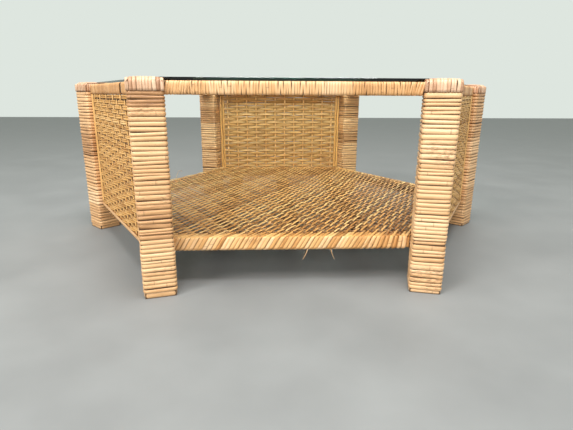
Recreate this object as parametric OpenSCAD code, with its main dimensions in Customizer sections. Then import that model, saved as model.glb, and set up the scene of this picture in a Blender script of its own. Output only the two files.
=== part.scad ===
// Six-sided rattan coffee table with a woven lower shelf, three woven side panels and a loose glass top.
// Millimetres, +Z up. The origin is on the floor under the middle of the table, and the open front faces -Y.
// Leg k stands at angle 60*k. Side k runs from leg k to leg k+1, and its outward normal is at 60*k + 30.

/* [Table] */
// Radius of the circle through the leg centres
leg_circle_r = 510; // [440:1:580]
// Height of the table over the leg caps
table_h = 392; // [350:1:460]

/* [Legs] */
// Side of the square leg, measured over its wrapping
leg_w = 62; // [54:1:72]
// Thickness of the split-rattan strip wound round the legs
leg_strip_t = 3; // [2:0.5:4]
// Width of one turn of that strip
leg_strip_w = 7.8; // [6:0.1:10]
// Height of the capping strips that fold over the top of each leg
cap_h = 24; // [20:1:30]

/* [Top rails] */
// Height of a top rail over its wrapping
rail_h = 23.5; // [20:0.5:30]
// Depth of a top rail over its wrapping
rail_depth = 40; // [34:1:46]
// Distance of the rail's outer face beyond the line of the leg centres
rail_out = 9.3; // [6:0.1:12]
// Thickness of the strip wound round the rails
rail_strip_t = 2.5; // [2:0.5:3]

/* [Shelf] */
// Height of the shelf's upper surface
shelf_top = 96.5; // [85:0.5:120]
// Thickness of the shelf over its weave
shelf_h = 29; // [25:1:36]
// Distance from the middle of the table to the shelf's edge on an open side
shelf_apothem = 410.6; // [404:0.1:415]
// Thickness of the woven skin on the shelf
mat_t = 4; // [3:0.5:5]
// Depth of the wooden rails under the weave
shelf_rail_depth = 44; // [36:1:50]

/* [Side panels] */
// Thickness of a woven side panel
panel_t = 10; // [10:0.5:11]
// Height of a panel's lower edge
panel_bottom = 71; // [60:1:80]
// Height of the wrapped rod along a panel's lower edge
rod_h = 8; // [6:0.5:10]
// Width of the half-round beads down both edges of a panel
bead_d = 9; // [7:0.5:9]
// Spacing of the upright stakes
stake_pitch = 35; // [30:1:40]

/* [Glass] */
// Distance from the middle of the glass to one of its corners
glass_r = 495; // [486:1:497]
// Thickness of the glass
glass_t = 6; // [5:0.5:6]

/* [Hidden] */

// Colours
straw = [0.80, 0.62, 0.36];
honey = [0.74, 0.55, 0.30];
olive_tan = [0.66, 0.51, 0.28];
cap_tan = [0.78, 0.60, 0.42];
bead_tan = [0.77, 0.56, 0.30];
raw_wood = [0.72, 0.58, 0.40];
steel = [0.62, 0.63, 0.65];
clear_green = [0.70, 0.82, 0.78, 0.45];

// Sides of the table
n_sides = 6;
side_angle = 360 / n_sides;
SIDE_RIGHT_BACK = 0;
SIDE_BACK = 1;
SIDE_LEFT_BACK = 2;
SIDE_LEFT_FRONT = 3;
SIDE_FRONT = 4;
SIDE_RIGHT_FRONT = 5;
LEG_RIGHT = 0;
LEG_BACK_RIGHT = 1;
LEG_BACK_LEFT = 2;
LEG_LEFT = 3;
LEG_FRONT_LEFT = 4;
LEG_FRONT_RIGHT = 5;

// Legs
leg_apothem = leg_circle_r * cos(side_angle / 2);
leg_skew = 15;
post_w = leg_w - 2 * leg_strip_t;
cap_z = table_h - cap_h;
// Steps of the easing at the top of a leg: distance in from the face, and drop below the top
dome_steps = [[0, 6], [2.5, 2.2], [11, 0]];
n_turns = round(cap_z / leg_strip_w);
turn_h = cap_z / n_turns;
strip_edge = 1;
overshoot = 1;

// Glass seat
glass_lift = 0.3;
glass_gap = 1.5;
rail_top = table_h - 0.2 - glass_t - glass_lift;
seat_r = glass_r + glass_gap;
post_seat_r = seat_r + leg_strip_t / cos(side_angle / 2);

// Top rails
rail_outer = leg_apothem + rail_out;
rail_bottom = rail_top - rail_h;
core_outer = rail_outer - rail_strip_t;
core_depth = rail_depth - 2 * rail_strip_t;
core_h = rail_h - 2 * rail_strip_t;
core_z = rail_bottom + rail_strip_t;

// Dowels that join the top rails to the legs
dowel_d = 8;
dowel_len = 24;
dowel_gap = 0.05;
dowel_end_gap = 1;
dowel_offset = 8;
dowel_z = core_z + core_h / 2;
dowel_face = post_w / 2 / cos(leg_skew);

// Shelf
shelf_bottom = shelf_top - shelf_h;
shelf_core_z = shelf_bottom + mat_t;
shelf_core_h = shelf_h - 2 * mat_t;
shelf_panel_apothem = leg_apothem + rail_out - panel_t;
mitre_shift = (shelf_panel_apothem - shelf_apothem) / 2 / pow(sin(side_angle / 2), 2);
slat_w = 36;
slat_h = 12;
slat_x = 150;
slat_front_y = shelf_rail_depth + mat_t - shelf_apothem;
slat_back_y = shelf_panel_apothem - mat_t - shelf_rail_depth;

// Screws through the shelf frame's corners into the legs
screw_d = 5;
screw_head_d = 10;
screw_head_h = 3;
screw_sink = 6;
screw_r0 = (shelf_apothem - mat_t - shelf_rail_depth) / cos(side_angle / 2) + screw_sink;
screw_tip_r = leg_circle_r - 4;
screw_z = shelf_core_z + shelf_core_h / 2;

// Side panels
panel_outer = rail_outer;
panel_mid = panel_outer - panel_t / 2;
weave_bottom = panel_bottom + rod_h;
weave_top = rail_bottom;
bead_r = bead_d / 2;
bead_back_t = panel_t - bead_d;
n_beads = 2;
stake_w = 6;
stake_t = 3;
stake_gap = 0.1;
n_stakes = 12;
long = 2 * leg_circle_r;
panel_w = leg_circle_r / 2;

// Places a child on the side of the table with the given number: +X outwards, +Y along the side
module on_side(k) {
    rotate([0, 0, side_angle * k + side_angle / 2]) children();
}

// Places a child at a leg: the leg's centre at the origin, +X pointing away from the table's middle
module at_leg(k) {
    rotate([0, 0, side_angle * k]) translate([leg_circle_r, 0, 0]) children();
}

// A square bar standing at a leg, with one diagonal on the line to the table's middle
module leg_bar(k, w, z0, z1) {
    at_leg(k) translate([0, 0, z0]) rotate([0, 0, 45]) translate([-w / 2, -w / 2, 0]) cube([w, w, z1 - z0]);
}

// The two leg bars at the ends of a side
module end_bars(k, w) {
    leg_bar(k, w, -overshoot, table_h + overshoot);
    leg_bar(k + 1, w, -overshoot, table_h + overshoot);
}

// A bar along a side, from leg centre to leg centre unless a length is given
module side_bar(k, outer, depth, z0, h, l = leg_circle_r) {
    on_side(k) translate([outer - depth, -l / 2, z0]) cube([depth, l, h]);
}

// A six-sided plate with corners at the legs
module hexagon(r, z0, h) {
    translate([0, 0, z0]) linear_extrude(h) circle(r = r, $fn = n_sides);
}

// Odd sides carry a panel, and there the shelf reaches out to the panel's inner face
function shelf_reach(k) = k % 2 == 1 ? shelf_panel_apothem : shelf_apothem;

// The shelf's six-sided outline, drawn in by the given inset
module shelf_plate(inset, z0, h) {
    intersection_for(k = [0:n_sides - 1])
        on_side(k) translate([shelf_reach(k) - inset - 2 * long, -long, z0]) cube([2 * long, 2 * long, h]);
}

// A wedge that ends a shelf rail at its mitres
module mitre_wedge(k, z0, h) {
    apex = k % 2 == 1 ? mitre_shift : -mitre_shift;
    half = long * tan(side_angle / 2);
    on_side(k) translate([apex, 0, z0]) linear_extrude(h) polygon([[0, 0], [long, -half], [long, half]]);
}

// A length of one side of the shelf between its mitres
module shelf_side(k, inset, depth, z0, h) {
    intersection() {
        side_bar(k, shelf_reach(k) - inset, depth, z0, h, long);
        mitre_wedge(k, z0, h);
    }
}

// One side of the leg's outline as a row of turns with bevelled edges
module turn_outline() {
    points_right = [for (i = [0:n_turns - 1], p = [[strip_edge, 0], [0, strip_edge], [0, turn_h - strip_edge]])
        [leg_w / 2 - p[0], i * turn_h + p[1]]];
    points_left = [for (i = [n_turns - 1:-1:0], p = [[0, turn_h - strip_edge], [0, strip_edge], [strip_edge, 0]])
        [p[0] - leg_w / 2, i * turn_h + p[1]]];
    top = [[leg_w / 2 - strip_edge, cap_z], [strip_edge - leg_w / 2, cap_z]];
    polygon(concat(points_right, top, points_left));
}

// The grooved square column that the turns make
module turn_column() {
    intersection() {
        translate([0, leg_w, 0]) rotate([90, 0, 0]) linear_extrude(2 * leg_w) turn_outline();
        translate([-leg_w, 0, 0]) rotate([90, 0, 90]) linear_extrude(2 * leg_w) turn_outline();
    }
}

// Outline of a block whose top edges are eased to a shallow dome
module domed_outline(w, z0, z1) {
    right = [for (p = dome_steps) [w / 2 - p[0], z1 - p[1]]];
    left = [for (i = [len(dome_steps) - 1:-1:0]) [dome_steps[i][0] - w / 2, z1 - dome_steps[i][1]]];
    polygon(concat([[-w / 2, z0], [w / 2, z0]], right, left));
}

// A leg's square block with that outline both ways
module domed_leg_block(k, w, z0, z1) {
    at_leg(k) rotate([0, 0, 45]) intersection() {
        translate([0, w, 0]) rotate([90, 0, 0]) linear_extrude(2 * w) domed_outline(w, z0, z1);
        translate([-w, 0, 0]) rotate([90, 0, 90]) linear_extrude(2 * w) domed_outline(w, z0, z1);
    }
}

// The dowels at one end of a top rail: end is -1 at leg k and +1 at leg k+1
module dowel_pair(k, end, d, extra) {
    for (s = [-1, 1])
        on_side(k)
            translate([core_outer - core_depth / 2 + s * dowel_offset, end * (leg_circle_r / 2 - dowel_face), dowel_z])
                rotate([90, 0, 0])
                    translate([0, 0, -dowel_len / 2 - extra]) cylinder(d = d, h = dowel_len + 2 * extra, $fn = 48);
}

// The dowels that enter one leg
module leg_dowels(k, d, extra) {
    dowel_pair(k, -1, d, extra);
    dowel_pair(k + n_sides - 1, 1, d, extra);
}

// A screw with a round head, driven outwards through the shelf frame into leg k
module corner_screw(k, grow) {
    rotate([0, 0, side_angle * k]) translate([screw_r0, 0, screw_z]) rotate([0, 90, 0]) {
        cylinder(d = screw_d + 2 * grow, h = screw_tip_r - screw_r0 + grow, $fn = 32);
        translate([0, 0, -grow]) cylinder(d = screw_head_d + 2 * grow, h = screw_head_h + grow, $fn = 32);
    }
}

// The stepped hole for that screw, open to the inside of the frame
module screw_hole(k) {
    corner_screw(k, dowel_gap);
    rotate([0, 0, side_angle * k]) translate([screw_r0 - 3 * screw_sink, 0, screw_z]) rotate([0, 90, 0])
        cylinder(d = screw_head_d + 2 * dowel_gap, h = 3 * screw_sink, $fn = 32);
}

// Wooden core of a leg, rebated at the top for the corner of the glass
module leg_post(k) {
    color(raw_wood) difference() {
        domed_leg_block(k, post_w, 0, table_h - leg_strip_t);
        hexagon(post_seat_r, rail_top - leg_strip_t, leg_w);
        leg_dowels(k, dowel_d + 2 * dowel_gap, dowel_end_gap);
        screw_hole(k);
    }
}

// Strip wound round a leg from the floor up to the cap
module leg_wrap(k) {
    color(straw) difference() {
        at_leg(k) rotate([0, 0, 45]) turn_column();
        leg_bar(k, post_w, -overshoot, table_h);
        side_bar(k, core_outer, core_depth, core_z, core_h);
        side_bar(k + n_sides - 1, core_outer, core_depth, core_z, core_h);
        shelf_plate(mat_t, shelf_core_z, shelf_core_h);
        screw_hole(k);
    }
}

// Strips folded over the top of a leg, stepped down where the glass lies
module leg_cap(k) {
    color(cap_tan) difference() {
        domed_leg_block(k, leg_w, cap_z, table_h);
        hexagon(seat_r, rail_top, leg_w);
        difference() {
            domed_leg_block(k, post_w, 0, table_h - leg_strip_t);
            hexagon(post_seat_r, rail_top - leg_strip_t, leg_w);
        }
        side_bar(k, core_outer, core_depth, core_z, core_h);
        side_bar(k + n_sides - 1, core_outer, core_depth, core_z, core_h);
    }
}

// Wooden core of a top rail, cut to meet both legs
module top_rail(k) {
    color(raw_wood) difference() {
        side_bar(k, core_outer, core_depth, core_z, core_h);
        end_bars(k, post_w);
        dowel_pair(k, -1, dowel_d + 2 * dowel_gap, dowel_end_gap);
        dowel_pair(k, 1, dowel_d + 2 * dowel_gap, dowel_end_gap);
    }
}

// Strip wound round a top rail between its legs
module rail_wrap(k) {
    color(straw) difference() {
        side_bar(k, rail_outer, rail_depth, rail_bottom, rail_h);
        side_bar(k, core_outer, core_depth, core_z, core_h);
        end_bars(k, leg_w);
    }
}

// Wooden rail of the shelf frame, mitred at both ends and cut round the legs
module shelf_rail(k) {
    color(raw_wood) difference() {
        shelf_side(k, mat_t, shelf_rail_depth, shelf_core_z, shelf_core_h);
        end_bars(k, post_w);
        screw_hole(k);
        screw_hole(k + 1);
    }
}

// Strands carried over the edge of the shelf and back under its rail
module shelf_edge(k) {
    color(olive_tan) difference() {
        shelf_side(k, 0, shelf_rail_depth + mat_t, shelf_bottom, shelf_h);
        side_bar(k, shelf_reach(k) - mat_t, long, shelf_core_z, shelf_h, 2 * long);
        end_bars(k, leg_w);
        screw_hole(k);
        screw_hole(k + 1);
    }
}

// Diagonal weave over the whole shelf
module shelf_mat() {
    color(olive_tan) difference() {
        shelf_plate(mat_t, shelf_top - mat_t, mat_t);
        for (k = [0:n_sides - 1]) leg_bar(k, leg_w, 0, table_h);
    }
}

// Wooden slats that carry the middle of the weave
module shelf_slats() {
    color(raw_wood)
        for (i = [-1:1])
            translate([i * slat_x - slat_w / 2, slat_front_y, shelf_top - mat_t - slat_h])
                cube([slat_w, slat_back_y - slat_front_y, slat_h]);
}

// Stakes stand at even distances from the middle of the panel
module stake_row(w, t, z0, z1) {
    for (i = [0:n_stakes - 1])
        translate([panel_mid - t / 2, (i - (n_stakes - 1) / 2) * stake_pitch - w / 2, z0]) cube([t, w, z1 - z0]);
}

// Woven field of a side panel, over and under its stakes and thinned under the beads
module panel_weave(k) {
    color(honey) difference() {
        side_bar(k, panel_outer, panel_t, weave_bottom, weave_top - weave_bottom);
        on_side(k) stake_row(stake_w + 2 * stake_gap, stake_t + 2 * stake_gap, 0, table_h);
        end_bars(k, leg_w);
        on_side(k) for (face = [-1, 1], end = [-1, 1]) bead_rebate(face, end);
    }
}

// Upright stakes inside a panel
module panel_stakes(k) {
    color(raw_wood) on_side(k) stake_row(stake_w, stake_t, weave_bottom, weave_top);
}

// Wrapped rod along a panel's lower edge
module panel_rod(k) {
    color(straw) difference() {
        side_bar(k, panel_outer, panel_t, panel_bottom, rod_h);
        end_bars(k, leg_w);
    }
}

// Distance from the middle of a side to the leg's skewed face, at a distance x from the table's middle
function leg_face(x) = leg_circle_r / 2 - (leg_w / 2 + (x - leg_apothem) * sin(leg_skew)) / cos(leg_skew);

// The plane that the beads of one face lie on: face is +1 outside and -1 inside
function bead_plane(face) = panel_mid + face * bead_back_t / 2;

// Where the outermost bead's edge stands on that face
function bead_edge(face) = leg_face(bead_plane(face) + max(face, 0) * bead_r);

// The step in the woven field that two beads lie in
module bead_rebate(face, end) {
    inner = bead_edge(face) - n_beads * bead_d;
    translate([bead_plane(face) - (face > 0 ? 0 : panel_t), end > 0 ? inner : -inner - panel_w, weave_bottom - overshoot])
        cube([panel_t, panel_w, table_h]);
}

// One upright half-round bead
module bead(face, y) {
    translate([bead_plane(face), y, weave_bottom]) intersection() {
        cylinder(r = bead_r, h = weave_top - weave_bottom, $fn = 40);
        translate([face > 0 ? 0 : -bead_d, -bead_r, 0]) cube([bead_d, bead_d, weave_top - weave_bottom]);
    }
}

// Double beads down both edges of a panel, on its inner and outer faces
module panel_beads(k) {
    color(bead_tan) on_side(k)
        for (face = [-1, 1], end = [-1, 1], i = [0:n_beads - 1])
            bead(face, end * (bead_edge(face) - bead_r - i * bead_d));
}

// Dowels between the top rails and the legs
module rail_dowels() {
    color(raw_wood) for (k = [0:n_sides - 1]) leg_dowels(k, dowel_d, 0);
}

// Screws between the shelf frame and the legs
module shelf_screws() {
    color(steel) for (k = [0:n_sides - 1]) corner_screw(k, 0);
}

// Loose glass top with ground edges
module glass_top() {
    color(clear_green) hexagon(glass_r, rail_top + glass_lift, glass_t);
}

leg_post(LEG_RIGHT);  // leg_post_right
leg_post(LEG_BACK_RIGHT);  // leg_post_back_right
leg_post(LEG_BACK_LEFT);  // leg_post_back_left
leg_post(LEG_LEFT);  // leg_post_left
leg_post(LEG_FRONT_LEFT);  // leg_post_front_left
leg_post(LEG_FRONT_RIGHT);  // leg_post_front_right
leg_wrap(LEG_RIGHT);  // leg_wrap_right
leg_wrap(LEG_BACK_RIGHT);  // leg_wrap_back_right
leg_wrap(LEG_BACK_LEFT);  // leg_wrap_back_left
leg_wrap(LEG_LEFT);  // leg_wrap_left
leg_wrap(LEG_FRONT_LEFT);  // leg_wrap_front_left
leg_wrap(LEG_FRONT_RIGHT);  // leg_wrap_front_right
leg_cap(LEG_RIGHT);  // leg_cap_right
leg_cap(LEG_BACK_RIGHT);  // leg_cap_back_right
leg_cap(LEG_BACK_LEFT);  // leg_cap_back_left
leg_cap(LEG_LEFT);  // leg_cap_left
leg_cap(LEG_FRONT_LEFT);  // leg_cap_front_left
leg_cap(LEG_FRONT_RIGHT);  // leg_cap_front_right
top_rail(SIDE_RIGHT_BACK);  // top_rail_right_back
top_rail(SIDE_BACK);  // top_rail_back
top_rail(SIDE_LEFT_BACK);  // top_rail_left_back
top_rail(SIDE_LEFT_FRONT);  // top_rail_left_front
top_rail(SIDE_FRONT);  // top_rail_front
top_rail(SIDE_RIGHT_FRONT);  // top_rail_right_front
rail_wrap(SIDE_RIGHT_BACK);  // rail_wrap_right_back
rail_wrap(SIDE_BACK);  // rail_wrap_back
rail_wrap(SIDE_LEFT_BACK);  // rail_wrap_left_back
rail_wrap(SIDE_LEFT_FRONT);  // rail_wrap_left_front
rail_wrap(SIDE_FRONT);  // rail_wrap_front
rail_wrap(SIDE_RIGHT_FRONT);  // rail_wrap_right_front
shelf_rail(SIDE_RIGHT_BACK);  // shelf_rail_right_back
shelf_rail(SIDE_BACK);  // shelf_rail_back
shelf_rail(SIDE_LEFT_BACK);  // shelf_rail_left_back
shelf_rail(SIDE_LEFT_FRONT);  // shelf_rail_left_front
shelf_rail(SIDE_FRONT);  // shelf_rail_front
shelf_rail(SIDE_RIGHT_FRONT);  // shelf_rail_right_front
shelf_edge(SIDE_RIGHT_BACK);  // shelf_edge_right_back
shelf_edge(SIDE_BACK);  // shelf_edge_back
shelf_edge(SIDE_LEFT_BACK);  // shelf_edge_left_back
shelf_edge(SIDE_LEFT_FRONT);  // shelf_edge_left_front
shelf_edge(SIDE_FRONT);  // shelf_edge_front
shelf_edge(SIDE_RIGHT_FRONT);  // shelf_edge_right_front
shelf_mat();
shelf_slats();
panel_weave(SIDE_BACK);  // panel_weave_back
panel_weave(SIDE_LEFT_FRONT);  // panel_weave_left_front
panel_weave(SIDE_RIGHT_FRONT);  // panel_weave_right_front
panel_stakes(SIDE_BACK);  // panel_stakes_back
panel_stakes(SIDE_LEFT_FRONT);  // panel_stakes_left_front
panel_stakes(SIDE_RIGHT_FRONT);  // panel_stakes_right_front
panel_rod(SIDE_BACK);  // panel_rod_back
panel_rod(SIDE_LEFT_FRONT);  // panel_rod_left_front
panel_rod(SIDE_RIGHT_FRONT);  // panel_rod_right_front
panel_beads(SIDE_BACK);  // panel_beads_back
panel_beads(SIDE_LEFT_FRONT);  // panel_beads_left_front
panel_beads(SIDE_RIGHT_FRONT);  // panel_beads_right_front
rail_dowels();
shelf_screws();
glass_top();
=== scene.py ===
"""Looks of the six-sided rattan coffee table. Its wrapped and woven surfaces are built strip by strip.

The table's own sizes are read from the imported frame. Leg k stands at 60*k degrees. Side k runs from leg k to
leg k+1, and its outward normal is at 60*k + 30 degrees. Odd sides carry a woven panel, even sides are open.
"""
import math
from collections import namedtuple

import bpy
import numpy as np
from mathutils import Matrix, Vector


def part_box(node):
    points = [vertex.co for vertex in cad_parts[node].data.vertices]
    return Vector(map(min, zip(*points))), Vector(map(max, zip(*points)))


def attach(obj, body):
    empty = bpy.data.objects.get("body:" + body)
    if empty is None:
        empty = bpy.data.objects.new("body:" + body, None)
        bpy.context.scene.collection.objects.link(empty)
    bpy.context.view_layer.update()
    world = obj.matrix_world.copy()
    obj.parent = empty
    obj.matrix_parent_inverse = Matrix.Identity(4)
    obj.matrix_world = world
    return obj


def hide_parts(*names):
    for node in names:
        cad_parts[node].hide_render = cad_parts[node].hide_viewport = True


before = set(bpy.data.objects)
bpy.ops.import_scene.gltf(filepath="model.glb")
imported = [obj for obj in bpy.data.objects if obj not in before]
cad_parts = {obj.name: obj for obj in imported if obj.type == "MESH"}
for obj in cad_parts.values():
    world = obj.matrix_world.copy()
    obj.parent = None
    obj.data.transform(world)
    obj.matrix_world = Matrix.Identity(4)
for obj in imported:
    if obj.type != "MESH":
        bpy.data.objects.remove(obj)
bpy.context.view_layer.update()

MM = 0.001
LEGS = ("right", "back_right", "back_left", "left", "front_left", "front_right")
SIDES = ("right_back", "back", "left_back", "left_front", "front", "right_front")
PANEL_SIDES = (1, 3, 5)
BARE_SIDE = 5
UP = np.array([0.0, 0.0, 1.0])

# ---------------------------------------------------------------- sizes read from the frame
low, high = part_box("leg_wrap_right")
LEG_W = (high.x - low.x) / math.sqrt(2)
LEG_R = (high.x + low.x) / 2
CAP_Z = high.z
TABLE_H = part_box("leg_cap_right")[1].z
low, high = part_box("rail_wrap_front")
RAIL_OUT, RAIL_IN, RAIL_Z0, RAIL_Z1 = -low.y, -high.y, low.z, high.z
low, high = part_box("shelf_edge_front")
SHELF_OPEN, SHELF_Z0, SHELF_Z1 = -low.y, low.z, high.z
SHELF_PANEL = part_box("shelf_edge_back")[1].y
low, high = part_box("panel_weave_back")
PANEL_IN, PANEL_OUT, PANEL_Z0, PANEL_Z1 = low.y, high.y, low.z, high.z
ROD_Z0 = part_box("panel_rod_back")[0].z
low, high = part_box("glass_top")
GLASS_R, GLASS_Z0, GLASS_Z1 = high.x, low.z, high.z
APOTHEM = LEG_R * math.cos(math.radians(30))
SKEW = math.radians(15)
LEG_CLEAR = 0.3 * MM


def rng_for(*words):
    """A random source of its own for each piece, so that one piece's changes leave the others alone."""
    return np.random.default_rng([sum(ord(c) * (i + 1) for i, c in enumerate(str(w))) for w in words])


def side_axes(k):
    """Outward normal and direction along side k."""
    a = math.radians(60 * k + 30)
    return np.array([math.cos(a), math.sin(a), 0.0]), np.array([-math.sin(a), math.cos(a), 0.0])


def leg_face(x):
    """Distance from the middle of a side to the leg's skewed face, x from the table's middle."""
    return LEG_R / 2 - (LEG_W / 2 + (x - APOTHEM) * math.sin(SKEW)) / math.cos(SKEW)


# ---------------------------------------------------------------- strips
def half_round(arch, back, points=7):
    """Section of a split strip, domed on top, flat behind: places across from -1 to 1, heights in metres."""
    a = np.linspace(math.pi, 0, points)
    u, h = np.cos(a), np.sin(a) * arch
    return np.append(u, [0.8, -0.8]), np.append(h, [-back, -back])


def oval(thick, points=10):
    """Section of a whole strand."""
    a = np.linspace(math.pi, -math.pi, points, endpoint=False)
    return np.cos(a), np.sin(a) * thick / 2


def add_to_scene(name, data):
    """A new object that holds data, linked to the scene."""
    made = bpy.data.objects.new(name, data)
    bpy.context.scene.collection.objects.link(made)
    return made


def add_piece(name, mesh, body, material, hides=()):
    """A visible piece that rides on body and stands in for the nodes it hides."""
    mesh.materials.append(material)
    piece = add_to_scene(name, mesh)
    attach(piece, body)
    if hides:
        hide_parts(*hides)


class Strips:
    """Collects closed strips and makes one mesh of them. For each point the attribute lay holds the distance
    along its strip in metres, the place across it from -1 to 1, and the strip's own tone from 0 to 1. A second
    attribute holds painted shade for creases, hollows and shaded sides; on the broken strand, its own dark
    stain."""

    def __init__(self):
        self.points, self.lay, self.grime, self.quads, self.caps, self.count = [], [], [], [], [], 0

    def add(self, path, out, width, section, tone, along=0.0, grime=0.0, sheared=None):
        """Lay a strip along path with its top towards out. It is square to the path, except where sheared
        holds another direction across it."""
        path = np.asarray(path, float)
        tangent = np.gradient(path, axis=0)
        tangent /= np.linalg.norm(tangent, axis=1)[:, None]
        out = np.broadcast_to(np.asarray(out, float), path.shape)
        out = out - tangent * (out * tangent).sum(1)[:, None]
        out = out / np.linalg.norm(out, axis=1)[:, None]
        across = np.cross(tangent, out)
        if sheared is not None:
            across = np.where(np.abs(sheared).sum(1)[:, None] > 0, sheared, across)
        u, h = section
        half = np.broadcast_to(np.asarray(width, float) / 2, len(path))
        aside = across[:, None] * (half[:, None] * u)[..., None]
        ring = path[:, None] + aside + out[:, None] * h[None, :, None]
        n, m = len(path), len(u)
        steps = np.linalg.norm(np.diff(path, axis=0), axis=1)
        s = np.concatenate([[0], np.cumsum(steps)]) + along
        lay = np.stack([np.repeat(s, m), np.tile(u, n), np.full(n * m, tone)], axis=1)
        row = self.count + np.arange(n - 1)[:, None] * m
        here = np.arange(m)[None, :]
        beside = (here + 1) % m
        quads = np.stack([row + here, row + beside, row + m + beside, row + m + here], axis=-1).reshape(-1, 4)
        first = self.count + np.arange(m)[::-1]
        last = self.count + (n - 1) * m + np.arange(m)
        self.points.append(ring.reshape(-1, 3))
        self.lay.append(lay)
        self.grime.append(np.broadcast_to(grime, (n, m)).ravel())
        self.quads.append(quads)
        self.caps.extend([first, last])
        self.count += n * m

    def mesh(self, name):
        """One mesh of all the strips: smooth along them, flat at their ends."""
        points, quads = np.concatenate(self.points), np.concatenate(self.quads)
        loops = np.concatenate([quads.ravel()] + self.caps)
        sizes = np.concatenate([np.full(len(quads), 4), [len(c) for c in self.caps]])
        starts = np.concatenate([[0], np.cumsum(sizes)[:-1]])
        mesh = bpy.data.meshes.new(name)
        mesh.vertices.add(len(points))
        mesh.vertices.foreach_set("co", points.astype(np.float32).ravel())
        mesh.loops.add(len(loops))
        mesh.loops.foreach_set("vertex_index", loops.astype(np.int32))
        mesh.polygons.add(len(sizes))
        mesh.polygons.foreach_set("loop_start", starts.astype(np.int32))
        smooth = np.concatenate([np.ones(len(quads), bool), np.zeros(len(self.caps), bool)])
        mesh.polygons.foreach_set("use_smooth", smooth)
        mesh.update(calc_edges=True)
        lay = mesh.attributes.new("lay", "FLOAT_VECTOR", "POINT")
        lay.data.foreach_set("vector", np.concatenate(self.lay).astype(np.float32).ravel())
        grime = mesh.attributes.new("grime", "FLOAT", "POINT")
        grime.data.foreach_set("value", np.concatenate(self.grime).astype(np.float32))
        return mesh

    def piece(self, name, slot, material, hides=()):
        """Make the strips a piece of the table's frame that stands in for the nodes it hides."""
        add_piece(name, self.mesh(name), "frame", material, hides)


# ---------------------------------------------------------------- materials
class Nodes:
    """A short way to write a material's node tree."""

    def __init__(self, name):
        self.material = bpy.data.materials.new(name)
        self.material.use_nodes = True
        self.tree = self.material.node_tree
        self.shader = self.tree.nodes["Principled BSDF"]

    def node(self, kind, **values):
        node = self.tree.nodes.new(kind)
        for key, value in values.items():
            setattr(node, key, value)
        return node

    def set(self, socket, value):
        """Link value to the socket if it is another socket, and otherwise write it there."""
        if isinstance(value, bpy.types.NodeSocket):
            self.tree.links.new(value, socket)
        else:
            socket.default_value = value

    def math(self, operation, a, b=0.0):
        """One step of arithmetic on numbers or sockets."""
        node = self.node("ShaderNodeMath", operation=operation)
        self.set(node.inputs[0], a)
        self.set(node.inputs[1], b)
        return node.outputs[0]

    def times(self, a, b):
        return self.math("MULTIPLY", a, b)

    def normal_z(self):
        """How far the surface faces up: 1 for level, 0 for upright, -1 for facing down."""
        parts = self.node("ShaderNodeSeparateXYZ")
        self.set(parts.inputs[0], self.node("ShaderNodeNewGeometry").outputs["Normal"])
        return parts.outputs["Z"]

    def object_place(self):
        return self.node("ShaderNodeTexCoord").outputs["Object"]

    def vector(self, x, y, z):
        node = self.node("ShaderNodeCombineXYZ")
        for socket, value in zip(node.inputs, (x, y, z)):
            self.set(socket, value)
        return node.outputs[0]

    def noise(self, vector, scale, detail=3.0, rough=0.5):
        node = self.node("ShaderNodeTexNoise")
        self.set(node.inputs["Vector"], vector)
        self.set(node.inputs["Scale"], scale)
        self.set(node.inputs["Detail"], detail)
        self.set(node.inputs["Roughness"], rough)
        return node.outputs["Fac"]

    def span(self, value, a, b, c, d):
        """value from a..b to c..d, clamped."""
        node = self.node("ShaderNodeMapRange")
        for key, v in zip(("Value", "From Min", "From Max", "To Min", "To Max"), (value, a, b, c, d)):
            self.set(node.inputs[key], v)
        return node.outputs["Result"]

    def ramp(self, value, stops):
        """Colour by value, between stops of (place, colour)."""
        node = self.node("ShaderNodeValToRGB")
        while len(node.color_ramp.elements) < len(stops):
            node.color_ramp.elements.new(0.5)
        for element, (place, colour) in zip(node.color_ramp.elements, stops):
            element.position = place
            element.color = (*colour, 1.0)
        self.set(node.inputs["Fac"], value)
        return node.outputs["Color"]

    def mix(self, factor, a, b):
        """Colour a where factor is 0 and b where it is 1."""
        node = self.node("ShaderNodeMix", data_type="RGBA")
        self.set(node.inputs[0], factor)
        self.set(node.inputs[6], a)
        self.set(node.inputs[7], b)
        return node.outputs[2]

    def finish(self, colour, roughness, height, depth):
        """Join up the shader: height from 0 to 1 is a relief of the given depth in metres."""
        self.set(self.shader.inputs["Base Color"], colour)
        self.set(self.shader.inputs["Roughness"], roughness)
        bump = self.node("ShaderNodeBump")
        bump.inputs["Distance"].default_value = depth
        bump.inputs["Strength"].default_value = 0.6
        self.set(bump.inputs["Height"], height)
        self.set(self.shader.inputs["Normal"], bump.outputs["Normal"])
        return self.material


SEAM_BROWN = (0.085, 0.034, 0.010, 1.0)
WORN_BROWN = (0.23, 0.10, 0.035, 1.0)
# The next two colours are painted shade, dark and warm; on the broken strand they give its own dark stain.
PAINTED_SHADE_AND_STAIN_DARK = (0.050, 0.020, 0.007, 1.0)
PAINTED_SHADE_AND_STAIN_WARM = (0.300, 0.130, 0.036, 1.0)
GLASS_EDGE_GREEN = (0.004, 0.022, 0.015, 1.0)
GLASS_CLEAR = (0.86, 0.95, 0.91, 1.0)
LAMPLIGHT_THROUGH_GLASS = (0.36, 0.395, 0.38, 1.0)
WOOD_STOPS = ((0.25, (0.045, 0.020, 0.008)), (0.55, (0.085, 0.040, 0.016)), (0.8, (0.14, 0.07, 0.03)))
STEEL_STOPS = ((0.3, (0.42, 0.43, 0.45)), (0.7, (0.62, 0.63, 0.65)))
KNOTS_PER_METRE = 5.0
FIBRE_DEPTH = 0.4 * MM


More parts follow.
